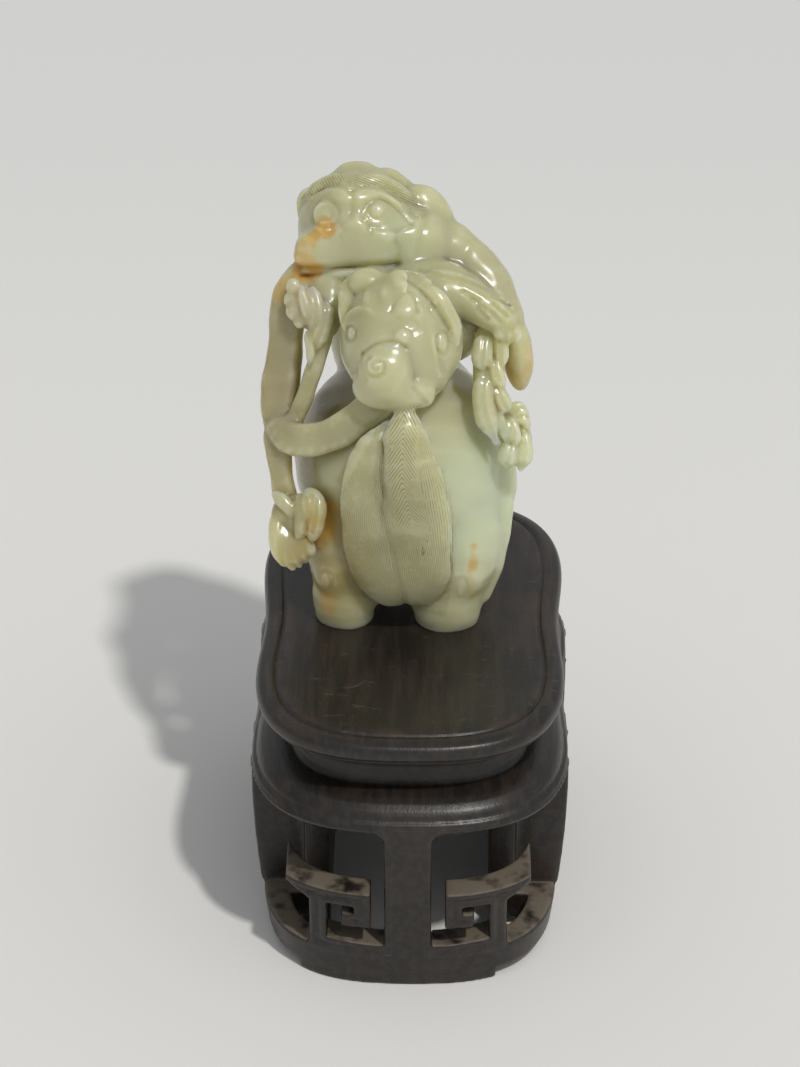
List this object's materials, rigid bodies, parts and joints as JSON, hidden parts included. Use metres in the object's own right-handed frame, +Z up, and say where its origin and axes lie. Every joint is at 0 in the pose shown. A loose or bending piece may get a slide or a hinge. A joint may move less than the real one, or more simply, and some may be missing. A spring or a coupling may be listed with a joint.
{
  "type": "jade dog carving on a carved wood stand",
  "caption": "Small jade carving of a lion-dog looking back with its pup and leafy sprays, resting on a waisted, pierced hardwood stand.",
  "frame": {"origin": "middle of the stand's foot, on the surface it stands on", "axes": "+Z up, +Y along the stand from the rump of the large beast to its chest, +X to the right as the rump is looked at"},
  "size_m": [0.0614, 0.0982, 0.1376],
  "materials": {
    "jade": "polished pale celadon nephrite with russet skin",
    "hardwood": "dark waxed hardwood, worn at the edges, dusty in the piercing"
  },
  "bodies": {
    "root": {"wood_stand": "hardwood", "jade_carving": "jade"}
  },
  "joints": []
}
